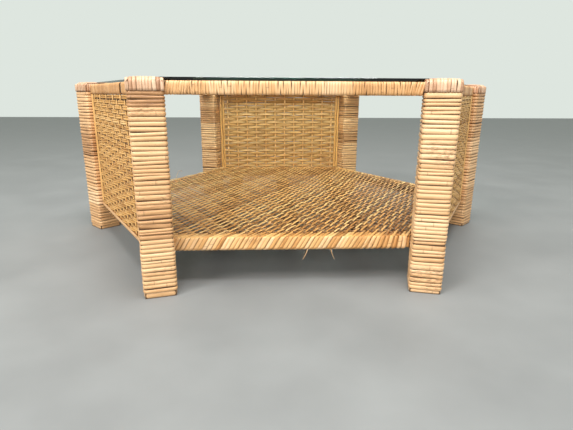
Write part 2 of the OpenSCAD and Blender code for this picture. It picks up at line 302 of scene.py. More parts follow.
def rattan(name, stops, fibre_count, seam=0.45, mottle=0.36, upper=None, varnish=0.22):
    """Split rattan: fibres along the strip, mottled skin, knot rings, dirt in the seams at both edges, and
    worn spots. Where upper is given, surfaces that face up have those tones instead."""
    n = Nodes(name)
    lay = n.node("ShaderNodeAttribute", attribute_name="lay")
    parts = n.node("ShaderNodeSeparateXYZ")
    n.set(parts.inputs[0], lay.outputs["Vector"])
    s, u, tone = parts.outputs
    strip = n.times(tone, 71.0)

    def strip_noise(along, across, detail, rough):
        """Noise stretched along the strip, different on each strip: along in waves per metre."""
        return n.noise(n.vector(n.times(s, along), n.times(u, across), strip), 1.0, detail, rough)

    fibres = strip_noise(45.0, fibre_count, 4.0, 0.6)
    patches = strip_noise(16.0, 1.1, 3.0, 0.55)
    specks = strip_noise(210.0, 5.0, 2.0, 0.5)
    value = n.math("ADD", n.times(tone, 1.0 - mottle), n.times(patches, mottle * 1.25))
    value = n.math("ADD", value, n.span(fibres, 0.3, 0.7, -0.24, 0.16))
    colour = n.ramp(value, stops)
    if upper:
        colour = n.mix(n.span(n.normal_z(), 0.35, 0.8, 0.0, 1.0), colour, n.ramp(value, upper))
    dirt = n.times(n.math("POWER", n.math("ABSOLUTE", u), 7.0), seam)
    ring = n.math("FRACT", n.math("ADD", n.times(s, KNOTS_PER_METRE), n.times(tone, 9.1)))
    knot = n.times(n.span(ring, 0.0, 0.013, 1.0, 0.0), 0.55)
    speck = n.span(specks, 0.66, 0.74, 0.0, 0.55)
    colour = n.mix(n.math("MAXIMUM", n.math("MAXIMUM", dirt, knot), speck), colour, SEAM_BROWN)
    # Painted shade: the second attribute darkens creases, hollows and the strips' shaded sides towards these
    # browns; on the broken strand it is its own stain.
    grime = n.node("ShaderNodeAttribute", attribute_name="grime").outputs["Fac"]
    colour = n.mix(grime, colour, n.mix(patches, PAINTED_SHADE_AND_STAIN_DARK, PAINTED_SHADE_AND_STAIN_WARM))
    rubbed = n.span(n.noise(n.object_place(), 13.0, 2.0), 0.56, 0.66, 0.0, 1.0)
    chips = n.span(strip_noise(120.0, 2.2, 3.0, 0.6), 0.50, 0.60, 0.0, 1.0)
    colour = n.mix(n.times(n.times(rubbed, chips), 0.75), colour, WORN_BROWN)
    n.shader.inputs["Specular IOR Level"].default_value = 0.25 + 0.9 * varnish
    n.shader.inputs["Coat Weight"].default_value = varnish
    n.shader.inputs["Coat Roughness"].default_value = 0.28
    height = n.math("ADD", n.times(fibres, 0.6), n.times(knot, 0.5))
    return n.finish(colour, n.span(fibres, 0.3, 0.7, 0.40, 0.58), height, FIBRE_DEPTH)


def raw_wood(name):
    """Rough softwood of the hidden frame, dark in the gaps between the strips."""
    n = Nodes(name)
    stretch = n.node("ShaderNodeMapping")
    stretch.inputs["Scale"].default_value = (60.0, 60.0, 9.0)
    n.set(stretch.inputs["Vector"], n.object_place())
    grain = n.noise(stretch.outputs["Vector"], 3.0, 4.0, 0.6)
    return n.finish(n.ramp(grain, WOOD_STOPS), n.span(grain, 0.3, 0.7, 0.6, 0.85), grain, 0.5 * MM)


def plated_steel(name):
    """Zinc-plated steel of the screws, with fine streaks."""
    n = Nodes(name)
    streaks = n.noise(n.object_place(), 900.0, 2.0)
    n.shader.inputs["Metallic"].default_value = 1.0
    return n.finish(n.ramp(streaks, STEEL_STOPS), n.span(streaks, 0.3, 0.7, 0.3, 0.45), streaks, 0.1 * MM)


def float_glass(name):
    """Clear glass, green in the body so that its edge reads dark, with faint smears. Part of the lamps' light
    goes straight through it."""
    n = Nodes(name)
    smears = n.noise(n.object_place(), 14.0, 3.0)
    n.shader.inputs["Transmission Weight"].default_value = 1.0
    n.shader.inputs["IOR"].default_value = 1.46
    face = n.span(n.math("ABSOLUTE", n.normal_z()), 0.3, 0.8, 0.0, 1.0)
    n.set(n.shader.inputs["Base Color"], n.mix(face, GLASS_EDGE_GREEN, GLASS_CLEAR))
    n.set(n.shader.inputs["Roughness"], n.span(smears, 0.4, 0.7, 0.0, 0.03))
    clear = n.node("ShaderNodeBsdfTransparent")
    clear.inputs["Color"].default_value = LAMPLIGHT_THROUGH_GLASS
    shadow_ray = n.node("ShaderNodeLightPath").outputs["Is Shadow Ray"]
    surface = n.node("ShaderNodeMixShader")
    for socket, value in zip(surface.inputs, (shadow_ray, n.shader.outputs[0], clear.outputs[0])):
        n.set(socket, value)
    n.set(n.tree.nodes["Material Output"].inputs["Surface"], surface.outputs[0])
    return n.material


# Colours of a strip by its tone, from the darkest at 0 to the lightest at 1
LEG_STOPS = [(0.00, (0.206, 0.085, 0.032)), (0.22, (0.474, 0.235, 0.093)), (0.45, (0.680, 0.385, 0.174)),
             (0.70, (0.803, 0.505, 0.267)), (1.00, (0.886, 0.640, 0.418))]
CAP_STOPS = [(0.00, (0.177, 0.072, 0.034)), (0.22, (0.428, 0.211, 0.108)), (0.45, (0.623, 0.360, 0.211)),
             (0.70, (0.725, 0.477, 0.314)), (1.00, (0.800, 0.594, 0.441))]
RAIL_STOPS = [(0.00, (0.226, 0.086, 0.028)), (0.22, (0.470, 0.219, 0.074)), (0.45, (0.639, 0.335, 0.129)),
              (0.70, (0.733, 0.430, 0.202)), (1.00, (0.827, 0.568, 0.350))]
SHELF_STOPS = [(0.00, (0.130, 0.043, 0.008)), (0.22, (0.336, 0.134, 0.029)), (0.45, (0.578, 0.261, 0.066)),
               (0.70, (0.765, 0.394, 0.125)), (1.00, (0.776, 0.568, 0.256))]
# The crosswise strands are darker brown, and their tones are darkened further as painted shade, for the dark
# slits where they show between the lengthwise strands.
CROSS_STOPS = [(0.00, (0.045, 0.016, 0.004)), (0.22, (0.112, 0.044, 0.014)), (0.45, (0.191, 0.083, 0.028)),
               (0.70, (0.270, 0.132, 0.050)), (1.00, (0.370, 0.201, 0.095))]
EDGE_STOPS = [(0.00, (0.272, 0.104, 0.031)), (0.22, (0.543, 0.252, 0.078)), (0.45, (0.737, 0.387, 0.142)),
              (0.70, (0.834, 0.495, 0.225)), (1.00, (0.892, 0.630, 0.392))]
PANEL_STOPS = [(0.00, (0.191, 0.075, 0.019)), (0.22, (0.444, 0.202, 0.052)), (0.45, (0.666, 0.346, 0.101)),
               (0.70, (0.807, 0.461, 0.161)), (1.00, (0.928, 0.643, 0.319))]
LEG_RATTAN = rattan("leg_rattan", LEG_STOPS, 9.0)
CAP_RATTAN = rattan("cap_rattan", CAP_STOPS, 8.0)
RAIL_RATTAN = rattan("rail_rattan", RAIL_STOPS, 6.0)
SHELF_RATTAN = rattan("shelf_rattan", EDGE_STOPS, 7.0, upper=SHELF_STOPS, varnish=0.08)
SHELF_CROSS_RATTAN = rattan("shelf_cross_rattan", CROSS_STOPS, 6.0, varnish=0.04)
PANEL_RATTAN = rattan("panel_rattan", PANEL_STOPS, 7.0, seam=0.5, varnish=0.05)
BEAD_RATTAN = rattan("bead_rattan", PANEL_STOPS, 9.0, seam=0.8, mottle=0.4)
RAW_WOOD = raw_wood("raw_wood")
SCREW_STEEL = plated_steel("screw_steel")
CLEAR_GLASS = float_glass("clear_glass")


# ---------------------------------------------------------------- outlines
def rounded_rectangle(half_x, half_y, radius, side_points=4, arc_points=4):
    """Points and outward normals round a rectangle, closed, starting at the middle of its (-x, -y) corner."""
    points, normals = [], []
    arcs = ((-1, -1, 225, 270), (1, -1, 270, 360), (1, 1, 0, 90), (-1, 1, 90, 180), (-1, -1, 180, 225))
    for side_x, side_y, start, end in arcs:
        count = arc_points if end - start > 45 else arc_points // 2 + 1
        angles = np.radians(np.linspace(start, end, count))
        outward = np.column_stack([np.cos(angles), np.sin(angles)])
        arc = np.array([side_x * (half_x - radius), side_y * (half_y - radius)]) + radius * outward
        if points:
            last = points[-1]
            for f in np.linspace(0, 1, side_points + 2)[1:-1]:
                points.append(last * (1 - f) + arc[0] * f)
                normals.append(outward[0])
        points.extend(arc)
        normals.extend(outward)
    return np.array(points), np.array(normals)


def wobble(count, rng, size, waves=3):
    """A smooth closed random wander of the given size."""
    a = np.linspace(0, 2 * math.pi, count)
    wander = np.zeros(count)
    for wave in range(1, waves + 1):
        wander += size / wave * math.sqrt(2) * rng.normal() * np.sin(wave * a + rng.uniform(0, 6.28))
    return wander


def anywhere(rng):
    """A random start along a strip's pattern, so that no two strips look the same."""
    return rng.uniform(0, 9)


def uneven_steps(start, end, pitch, rng, spread):
    """Edges of strips of uneven width that fill start..end."""
    count = max(1, round((end - start) / pitch))
    widths = 1 + spread * rng.normal(size=count).clip(-1.8, 1.8)
    return start + (end - start) * np.concatenate([[0], np.cumsum(widths) / widths.sum()])


def strip_tone(rng, middle=0.55, spread=0.17, dark=0.05):
    """Most strips are near the middle tone, and a few are dark."""
    if rng.uniform() < dark:
        return rng.uniform(0.0, 0.18)
    return float(np.clip(rng.normal(middle, spread), 0.12, 1.0))


def run_tones(rng, count, middle, spread, dark):
    """Tones of a wrapping's turns: each strip goes round several times before the next one starts."""
    tones = []
    while len(tones) < count:
        base = strip_tone(rng, middle, spread, dark)
        tones += list(base + 0.07 * rng.normal(size=rng.integers(2, 11)))
    return np.clip(tones[:count], 0, 1)


# ---------------------------------------------------------------- legs
LEG_ARCH = 2.1 * MM
LEG_BACK = 0.7 * MM
LEG_CORNER = 5 * MM
TURN_PITCH = 7.8 * MM
SEAM_GAP = 1.3 * MM
FOOT_INSET = 1.6 * MM
LEG_TONE = 0.56
# The back legs are browner than the others
BROWN_LEG_TONES = {"back_left": 0.44, "back_right": 0.34}
# Heights of the dark seams where a new length of strip starts, for each leg
LEG_SEAMS = {
    "right": (0.285,),
    "back_right": (0.318, 0.292),
    "back_left": (0.16,),
    "left": (0.205,),
    "front_left": (0.118, 0.152),
    "front_right": (0.070, 0.095),
}


def leg_transform(k):
    """Matrix from the leg's own axes, square to its faces, to the table's."""
    a = math.radians(60 * k)
    foot = Matrix.Translation((LEG_R * math.cos(a), LEG_R * math.sin(a), 0))
    return foot @ Matrix.Rotation(a - math.pi / 4, 4, "Z")


def place(matrix, points):
    """Points moved by a matrix."""
    m = np.array(matrix)
    return np.asarray(points) @ m[:3, :3].T + m[:3, 3]


def turn(matrix, vectors):
    """Directions turned by a matrix."""
    return np.asarray(vectors) @ np.array(matrix)[:3, :3].T


def build_leg_wrap(k):
    """Turns of split rattan round a square leg, from the floor up to the cap."""
    rng = rng_for("leg wrap", k)
    strips = Strips()
    matrix = leg_transform(k)
    section = half_round(LEG_ARCH, LEG_BACK)
    edges = uneven_steps(0.4 * MM, CAP_Z, TURN_PITCH, rng, 0.17)
    seams = [int(np.argmin(abs(edges - z))) for z in LEG_SEAMS[LEGS[k]]]
    tones = run_tones(rng, len(edges), BROWN_LEG_TONES.get(LEGS[k], LEG_TONE), 0.17, 0.04)
    for i, (z0, z1) in enumerate(zip(edges[:-1], edges[1:])):
        inset = LEG_ARCH + (FOOT_INSET if i == 0 else 0.35 * MM * abs(rng.normal()))
        half = LEG_W / 2 - inset
        flat, normals = rounded_rectangle(half, half, LEG_CORNER, 6, 5)
        z0 = z0 + (SEAM_GAP if i in seams else 0)
        tilt = rng.normal() * 0.002
        sway = wobble(len(flat), rng, 0.36 * MM) + tilt * (flat[:, 0] + flat[:, 1])
        if i == 0:
            sway = np.zeros(len(flat))
        path = place(matrix, np.column_stack([flat, (z0 + z1) / 2 + sway]))
        out = turn(matrix, np.column_stack([normals, np.zeros(len(flat))]))
        width = (z1 - z0) * (0.985 + 0.05 * rng.normal())
        tone = tones[i] * (0.6 if i in seams or i + 1 in seams else 1.0)
        # Painted shade along the lower side of each turn, where light from above leaves it in shade.
        grime = 0.42 * np.clip(section[0], 0, 1) ** 2
        strips.add(path, out, width, section, tone, anywhere(rng), grime)
    name = LEGS[k]
    strips.piece("leg_strips_" + name, "leg_rattan", LEG_RATTAN, ["leg_wrap_" + name])


CAP_ARCH = 1.1 * MM
CAP_BACK = 1.0 * MM
CAP_CORNER = 6.5 * MM
CAP_DOME = 2.2 * MM
CAP_PITCH = 5.3 * MM
CAP_START = CAP_Z + 0.6 * MM
SEAT_CLEAR = 1.2 * MM
COS_30 = math.cos(math.radians(30))
SIN_30 = math.sin(math.radians(30))


def in_glass_seat(x, y):
    """Whether a point in the leg's own axes lies under the glass."""
    radial = LEG_R + (x + y) / math.sqrt(2)
    aside = abs(y - x) / math.sqrt(2)
    return radial * COS_30 + aside * SIN_30 < (GLASS_R + SEAT_CLEAR) * COS_30 + CAP_ARCH


def cap_face(y, half):
    """How far out a cap's face is at distance y from its middle, given its rounded corners."""
    recess = max(0.0, abs(y) - (half - CAP_CORNER))
    return half - (CAP_CORNER - math.sqrt(max(CAP_CORNER ** 2 - recess ** 2, 0.0)))


def cap_path(y, half, top, flip):
    """A strip's way up one face, over the domed top and down the other, at distance y from the middle."""
    face = cap_face(y, half)
    top = top - CAP_DOME * min(1.0, abs(y) / face) ** 3
    shoulder = top - CAP_DOME - CAP_CORNER
    rise = [(face, z) for z in np.linspace(CAP_START, shoulder, 4)]
    for a in np.radians([25, 50, 75]):
        rise.append((face - CAP_CORNER + CAP_CORNER * math.cos(a), shoulder + CAP_CORNER * math.sin(a)))
    inner = face - CAP_CORNER
    crown = [(x, top - CAP_DOME * abs(x / face) ** 3) for x in np.linspace(inner, -inner, 17)]
    fall = [(-x, z) for x, z in reversed(rise)]
    path = []
    for x, z in rise + crown + fall:
        px, py = (y, x) if flip else (x, y)
        if in_glass_seat(px, py):
            z = min(z, RAIL_Z1 - CAP_ARCH - 0.2 * MM)
        path.append((px, py, z))
    return np.array(path)


def cap_normals(path, y, flip):
    """Outward directions of a cap strip: away from a point low inside the cap."""
    across = 0 if flip else 1
    centre = np.array([0.0, 0.0, CAP_Z])
    centre[across] = y
    tangent = np.gradient(path, axis=0)
    out = np.cross(tangent, np.eye(3)[across])
    out[(out * (path - centre)).sum(1) < 0] *= -1
    return out


def side_path(y, half, flip):
    """A strip's way up one face only, ending under the outermost strip of those that cross the top."""
    face = cap_face(y, half)
    top = TABLE_H - CAP_DOME * (1.2 + min(1.0, abs(y) / half) ** 3) - 1.6 * MM
    rows = [(face, z) for z in np.linspace(CAP_START, top - 4 * MM, 5)]
    rows += [(face - 0.8 * MM, top - 1.5 * MM), (face - 3.0 * MM, top)]
    return np.array([(y, x, z) if flip else (x, y, z) for x, z in rows])


CAP_MARGIN = 1.0 * MM
# On these legs the strips that cross the top rise from the other pair of faces
TURNED_CAPS = ("front_right", "right")


def build_leg_cap(k):
    """Strips folded over the top of a leg, spaced along one axis of the leg, and upright strips on the two
    faces that look along that axis."""
    rng = rng_for("leg cap", k)
    strips = Strips()
    matrix = leg_transform(k)
    section = half_round(CAP_ARCH, CAP_BACK)
    half = LEG_W / 2 - CAP_ARCH
    over = LEGS[k] not in TURNED_CAPS
    axis = 0 if over else 1

    def cap_edges():
        return uneven_steps(-LEG_W / 2 + CAP_MARGIN, LEG_W / 2 - CAP_MARGIN, CAP_PITCH, rng, 0.20)

    def add_strip(path, out, width):
        tone = strip_tone(rng, 0.52, 0.18, 0.10)
        strips.add(place(matrix, path), turn(matrix, out), width * 1.03, section, tone, anywhere(rng))

    edges = cap_edges()
    for a, b in zip(edges[:-1], edges[1:]):
        y = (a + b) / 2
        path = cap_path(y, half, TABLE_H - CAP_ARCH, over)
        out = cap_normals(path, y, over)
        path[:, axis] += wobble(len(path), rng, 0.3 * MM)
        add_strip(path, out, b - a)
    for side in (-1, 1):
        edges = cap_edges()
        for a, b in zip(edges[:-1], edges[1:]):
            path = side_path((a + b) / 2, half, not over)
            path[:, axis] *= side
            out = np.zeros_like(path)
            out[:, axis] = side
            out[-2:, 2] = (0.6, 1.2)
            add_strip(path, out, b - a)
    name = LEGS[k]
    strips.piece("cap_strips_" + name, "cap_rattan", CAP_RATTAN, ["leg_cap_" + name])


# ---------------------------------------------------------------- bars wrapped crosswise
BAR_CORNER = 4 * MM
# Over this many turns beside a leg, the rings swing round to the leg's face
SWING_TURNS = 9
RAIL_PITCH = 4.8 * MM
# The front rail's turns lean more near the legs, and one rail is browner than the others
RAIL_LEANS = {"front": 0.3}
RAIL_TONES = {"left_front": 0.25}
# Where some turns are missing from a rail's wrapping, measured from the middle of that side
RAIL_GAPS = {"left_front": 0.110}
RAIL_GAP_W = 17 * MM
Bar = namedtuple("Bar", "outer inner bottom top pitch arch back")


def wrapped_bar(strips, k, bar, rng, middle_tone, lean=0.0, gap=None):
    """Rings of strip round a bar along side k. Towards each leg they swing round to meet its skewed face."""
    n, t = side_axes(k)
    section = half_round(bar.arch, bar.back, 6)
    reach = leg_face(bar.outer) - LEG_CLEAR
    half_x = (bar.outer - bar.inner) / 2 - bar.arch
    half_z = (bar.top - bar.bottom) / 2 - bar.arch
    flat, normals = rounded_rectangle(half_x, half_z, BAR_CORNER, 3, 4)
    middle = n * (bar.outer + bar.inner) / 2 + UP * (bar.top + bar.bottom) / 2
    edges = uneven_steps(-reach, reach, bar.pitch, rng, 0.16)
    tones = run_tones(rng, len(edges), middle_tone, 0.18, 0.08)
    for a, b, tone in zip(edges[:-1], edges[1:], tones):
        centre = (a + b) / 2
        if gap and abs(centre - gap) < RAIL_GAP_W / 2:
            continue
        near = max(0.0, 1 - (reach - abs(centre)) / (SWING_TURNS * bar.pitch))
        swing = near * math.tan(SKEW) * np.sign(centre)
        slant = lean * near + 0.05 * rng.normal()
        along = centre + swing * (half_x - flat[:, 0]) + slant * flat[:, 1]
        along += wobble(len(flat), rng, 0.12 * MM)
        ring = flat - normals * 0.15 * MM * abs(rng.normal())
        path = middle + n * ring[:, :1] + t * along[:, None] + UP * ring[:, 1:]
        out = n * normals[:, :1] + UP * normals[:, 1:]
        width = (b - a) * (0.99 + 0.04 * rng.normal()) * (1 + 0.1 * near)
        strips.add(path, out, width, section, tone, anywhere(rng))


def build_rail_wrap(k):
    """Turns of split rattan round a top rail."""
    rng = rng_for("rail wrap", k)
    strips = Strips()
    name = SIDES[k]
    bar = Bar(RAIL_OUT, RAIL_IN, RAIL_Z0, RAIL_Z1, RAIL_PITCH, 0.8 * MM, 1.1 * MM)
    tone, lean = RAIL_TONES.get(name, 0.55), RAIL_LEANS.get(name, 0.1)
    wrapped_bar(strips, k, bar, rng, tone, lean, RAIL_GAPS.get(name))
    strips.piece("rail_strips_" + name, "rail_rattan", RAIL_RATTAN, ["rail_wrap_" + name])


# ---------------------------------------------------------------- shelf
STRAND_RISE = 0.85 * MM
STRAND_BACK = 0.4 * MM
WEAVE_START = 26 * MM
EDGE_ROUND = 2.2 * MM
EDGE_DEPTH = 1.1 * MM
EDGE_STRAIGHTENING = 2.6 * MM
UNDER_REACH = 26 * MM
LEAN_SPAN = 95 * MM
CALM_SPAN = 30 * MM
BARE_RAIL = 40 * MM
BARE_OVERLAP = 6 * MM
# A set of parallel strands: direction in degrees, spacing, width, arch, the step between points along them,
# how far each strand is pushed towards one neighbour, the middle tone, and the sides whose edge they wrap
Weave = namedtuple("Weave", "angle pitch width arch step pairing tone wraps")
LENGTHWISE = Weave(60, 7.5 * MM, 5.3 * MM, 0.9 * MM, 4.2 * MM, 0.45 * MM, 0.64, (0, 1, 3, 4))
CROSSWISE = Weave(120, 16.8 * MM, 5.6 * MM, 1.1 * MM, 2.6 * MM, 0.0, 0.50, ())


def shelf_reach(k):
    """How far the shelf runs towards side k."""
    return SHELF_PANEL if k in PANEL_SIDES else SHELF_OPEN


def weave_reach(k):
    """How far the weave runs towards side k: one rail stays bare and has a wrapping of its own."""
    return shelf_reach(k) - (BARE_RAIL - BARE_OVERLAP if k == BARE_SIDE else 0)


def in_a_leg(point, grow):
    """Whether a point lies in a leg's square or within about grow of it."""
    for k in range(6):
        a = math.radians(60 * k)
        x, y = point[0] - LEG_R * math.cos(a), point[1] - LEG_R * math.sin(a)
        radial, aside = x * math.cos(a) + y * math.sin(a), -x * math.sin(a) + y * math.cos(a)
        if abs(radial) + abs(aside) < LEG_W / math.sqrt(2) + grow:
            return True
    return False


def fold_profile(a, height):
    """Where a strand is, a distance a past the start of its fold round the shelf's edge: how far out from the
    edge's face, how far down, and its normal as (outward, up)."""
    r = EDGE_ROUND
    quarter = r * math.pi / 2
    face = height - 2 * r
    if a < quarter:
        q = a / r
        return -r + r * math.sin(q), -(r - r * math.cos(q)), (math.sin(q), math.cos(q))
    if a < quarter + face:
        return 0.0, -(r + a - quarter), (1.0, 0.0)
    if a < 2 * quarter + face:
        q = (a - quarter - face) / r
        return -r + r * math.cos(q), -(r + face + r * math.sin(q)), (math.cos(q), -math.sin(q))
    return -r - (a - 2 * quarter - face), -height, (0.0, -1.0)


def family(weave):
    """Direction of a set of strands and the direction in which they are spaced."""
    a = math.radians(weave.angle)
    return np.array([math.cos(a), math.sin(a), 0.0]), np.array([-math.sin(a), math.cos(a), 0.0])


def strand_ends(q, weave):
    """Where a straight strand leaves the weave's outline: (distance, side) at both ends. None if it misses.
    Strands that don't wrap the edge stop before the open sides."""
    d, across = family(weave)
    lowest, highest = (-9.0, None), (9.0, None)
    for k in range(6):
        n = side_axes(k)[0]
        slope, start = float(d @ n), float(across @ n) * q
        if abs(slope) < 1e-6:
            if start > weave_reach(k) - weave.width * 0.5:
                return None
            continue
        stop = 0 if weave.wraps or k in PANEL_SIDES else WEAVE_START
        s = (weave_reach(k) - stop - start) / slope
        if slope > 0 and s < highest[0]:
            highest = (s, k)
        if slope < 0 and s > lowest[0]:
            lowest = (s, k)
    return (lowest, highest) if lowest[0] < highest[0] - 0.02 else None


def lean_at(k, along):
    """How much of its slant a strand keeps on the shelf's face: beside the right leg strips stand upright."""
    if SIDES[k] != "front":
        return 1.0
    return float(np.clip((leg_face(SHELF_OPEN) - along) / LEAN_SPAN, 0.0, 1.0))


def fold_rows(edge_point, k, leaving, weave):
    """The rows of a strand that wraps the shelf's edge at side k, from the top to the underside. Each row is
    a point, a normal, a width, an amount of painted shade and the direction across the strand."""
    if k not in weave.wraps or in_a_leg(edge_point, 1 * MM):
        return []
    n, t = side_axes(k)
    d = family(weave)[0]
    sheared = t / float(np.cross(d, UP) @ t)
    drift = leaving * float(d @ t) / abs(float(d @ n))
    along = float(edge_point @ t)
    height = SHELF_Z1 - SHELF_Z0 - 2 * EDGE_DEPTH
    length = height - 2 * EDGE_ROUND + math.pi * EDGE_ROUND + UNDER_REACH
    rows = []
    for a in np.concatenate([np.linspace(0.1 * MM, math.pi / 2 * EDGE_ROUND, 4),
                             np.linspace(9 * MM, height - 5 * MM, 4),
                             np.linspace(height - 3 * MM, length, 5)]):
        x, drop, (outward, upward) = fold_profile(a, height)
        base = n * (shelf_reach(k) - EDGE_DEPTH + x) + t * (along + drift * a * lean_at(k, along))
        if any(base @ side_axes(j)[0] > shelf_reach(j) - 3 * MM for j in range(6) if j != k):
            break
        point = base + UP * (SHELF_Z1 - EDGE_DEPTH + drop)
        rows.append((point, n * outward + UP * upward, weave.pitch, 0.0, sheared))
    return rows


def strand_rows(q, i, weave, rise):
    """All rows of strand i, at distance q from the middle: over and under the weave, and round the shelf's
    edge, where the strands widen to lie side by side. None if the strand misses the shelf."""
    ends = strand_ends(q, weave)
    if ends is None:
        return None
    d, across = family(weave)
    (s0, k0), (s1, k1) = ends
    start_fold = fold_rows(across * q + d * s0, k0, -1, weave)
    end_fold = fold_rows(across * q + d * s1, k1, 1, weave)
    fold_inset = EDGE_ROUND + EDGE_STRAIGHTENING
    first = s0 + (fold_inset / abs(float(d @ side_axes(k0)[0])) if start_fold else 0.0)
    last = s1 - (fold_inset / abs(float(d @ side_axes(k1)[0])) if end_fold else 0.0)
    surface = SHELF_Z1 - STRAND_RISE - 0.9 * MM
    pushed = weave.pairing * (-1) ** i
    rows = start_fold[::-1]
    for s in np.linspace(first, last, max(4, int((last - first) / weave.step))):
        p = across * q + d * s
        calm = min(1.0, max(0.0, (s - s0) / CALM_SPAN - 0.35), max(0.0, (s1 - s) / CALM_SPAN - 0.35))
        height = rise(i, p) * calm
        lift = (height + (1 - calm) * 0.8) * STRAND_RISE
        width = weave.width + (LENGTHWISE.pitch - weave.width) * (1 - calm)
        # Painted shade where a strand dives under the crossing strands.
        grime = 0.65 * calm * max(0.0, 0.2 - height)
        rows.append((p + across * pushed * calm + UP * (surface + lift), UP, width, grime, UP * 0))
    return rows + end_fold


def swell(x, sharp=1.6):
    """A rounded square wave with a period of 4."""
    return float(np.clip(sharp * math.sin(math.pi * (x + 0.5) / 2), -1, 1))


def rise_lengthwise(i, p):
    """Height of lengthwise strand i at p: over two crosswise strands and under the next two."""
    return (-1) ** i * swell(float(family(CROSSWISE)[1] @ p) / CROSSWISE.pitch)


def rise_crosswise(j, p):
    """Height of crosswise strand j at p: the opposite of the lengthwise strands it meets."""
    return -0.7 * swell(j, 9.0) * math.cos(math.pi * float(family(LENGTHWISE)[1] @ p) / LENGTHWISE.pitch)


def build_shelf_strands(name, weave, rise, material):
    """One set of the shelf's strands, as a left and a right half."""
    halves = {"right": Strips(), "left": Strips()}
    rng = rng_for("shelf", name)
    across = family(weave)[1]
    section = half_round(weave.arch, STRAND_BACK, 5)
    count = int(0.56 / weave.pitch)
    for i in range(-count, count + 1):
        q = i * weave.pitch + 0.35 * MM * rng.normal()
        rows = strand_rows(q, i, weave, rise)
        if rows is None:
            continue
        path, out, widths, grime, sheared = (np.array(column) for column in zip(*rows))
        waves = np.arange(len(path)) * weave.step / MM * 0.05 + rng.uniform(0, 6.28)
        sway = across * (0.4 * MM * np.sin(waves))[:, None]
        sway[np.abs(sheared).sum(1) > 0] = 0
        tone = strip_tone(rng, weave.tone, 0.26, 0.07)
        widths = widths * (0.98 + 0.05 * rng.normal())
        half = halves["left" if q > 0 else "right"]
        half.add(path + sway, out, widths, section, tone, anywhere(rng), grime[:, None], sheared)
    for side, strips in halves.items():
        hides = ["shelf_mat"] if name == "lengthwise" and side == "left" else []
        strips.piece("shelf_strands_%s_%s" % (name, side), "shelf_rattan", material, hides)


def build_shelf_edge(k):
    """A wrapping under the strands at the shelf's edge, which shows where the strands leave the rail bare."""
    rng = rng_for("shelf edge", k)
    strips = Strips()
    name = SIDES[k]
    down = 0.0 if k == BARE_SIDE else 2.6 * MM
    reach = shelf_reach(k)
    bottom, top = SHELF_Z0 + down * 0.7, SHELF_Z1 - down
    bar = Bar(reach - down, reach - BARE_RAIL, bottom, top, 6.5 * MM, 0.7 * MM, 1.0 * MM)
    wrapped_bar(strips, k, bar, rng, 0.42)
    strips.piece("shelf_edge_strips_" + name, "shelf_rattan", SHELF_RATTAN, ["shelf_edge_" + name])


# ---------------------------------------------------------------- panels
PANEL_MIDDLE = (PANEL_IN + PANEL_OUT) / 2
STAKE_PITCH = 35 * MM
STAKES = 12
STAKE_W = 6.2 * MM
WEAVER_THICK = 3.2 * MM
WEAVER_SWING = 2.9 * MM
ROW_PITCH = 9.5 * MM
BEAD_R = 4.5 * MM
BEADS = 2
LACE_GAP = 1.1 * MM
ROD_SKIN = 1.2 * MM
# How light the weavers are on each panel. The back panel's higher tone is painted light, brightening its
# inside face, which the lamps reach less.
PANEL_TONES = {"left_front": 0.58, "right_front": 0.62, "back": 0.84}
# Heights at which the weavers stand apart and leave rows of small dark holes, for each panel
LACE_ROWS = {"left_front": (0.356, 0.347, 0.268), "right_front": (0.356, 0.347), "back": ()}


def upright_path(n, t, plane, along, z):
    """Points at distance plane from the table's middle, along its side, at heights z."""
    return n * plane + t * along[:, None] + UP * z[:, None]


def build_panel_weave(k):
    """Rows of paired weavers that pass in front of and behind the upright stakes."""
    rng = rng_for("panel", k)
    n, t = side_axes(k)
    name = SIDES[k]
    strips = Strips()
    edges = uneven_steps(PANEL_Z0, PANEL_Z1 - 0.5 * MM, ROW_PITCH, rng, 0.06)
    reach = leg_face(PANEL_OUT) - 2 * BEADS * BEAD_R + 3 * MM
    along = np.linspace(-reach, reach, 1 + 9 * (STAKES + 1))
    inner = np.clip((reach - 5 * MM - np.abs(along)) / (7 * MM), -1, 1)
    lace = [int(np.argmin(abs(edges - z))) for z in LACE_ROWS[name]]
    section = oval(WEAVER_THICK, 8)
    across, front = section[0], np.sign(section[1])
    for i, (z0, z1) in enumerate(zip(edges[:-1], edges[1:])):
        z0 = z0 + (LACE_GAP if i in lace else 0)
        z1 = z1 - (LACE_GAP if i + 1 in lace else 0)
        wave = np.cos((along / STAKE_PITCH + (STAKES - 1) / 2 + i) * math.pi)
        swing = np.sign(wave) * np.abs(wave) ** 0.7
        # Painted shade on the weavers' faces that turn towards the stakes, inside the panel.
        hidden = np.clip(-swing[:, None] * front, 0, 1) ** 7
        tone = strip_tone(rng, PANEL_TONES[name], 0.17, 0.07)
        for twin in (-1, 1):
            z = (z0 + z1) / 2 + twin * (z1 - z0) * 0.245 + wobble(len(along), rng, 0.22 * MM, 5)
            path = upright_path(n, t, (PANEL_MIDDLE + WEAVER_SWING * swing)[:, None], along, z)
            width = (z1 - z0) * (0.53 + 0.02 * rng.normal()) * (0.88 + 0.12 * inner)
            own_tone = float(np.clip(tone + 0.10 * rng.normal(), 0, 1))
            # Painted shade along the weavers' edges, deepest at the edge away from the twin, in the crease
            # between rows.
            edge = np.where(across * twin < 0, 1.0, 0.45) * np.abs(across) ** 1.4
            strips.add(path, n, width, section, own_tone, anywhere(rng), np.maximum(0.7 * hidden, edge))
    # Painted shade: a dark splint behind each row of holes stands in for the shade inside the panel, so that
    # no light shows through.
    for i in lace:
        path = upright_path(n, t, PANEL_MIDDLE, along, np.full(len(along), edges[i]))
        strips.add(path, n, 5 * MM, oval(0.8 * MM, 6), 0.0, anywhere(rng), 1.0)
    strips.piece("weavers_" + name, "panel_rattan", PANEL_RATTAN, ["panel_weave_" + name])


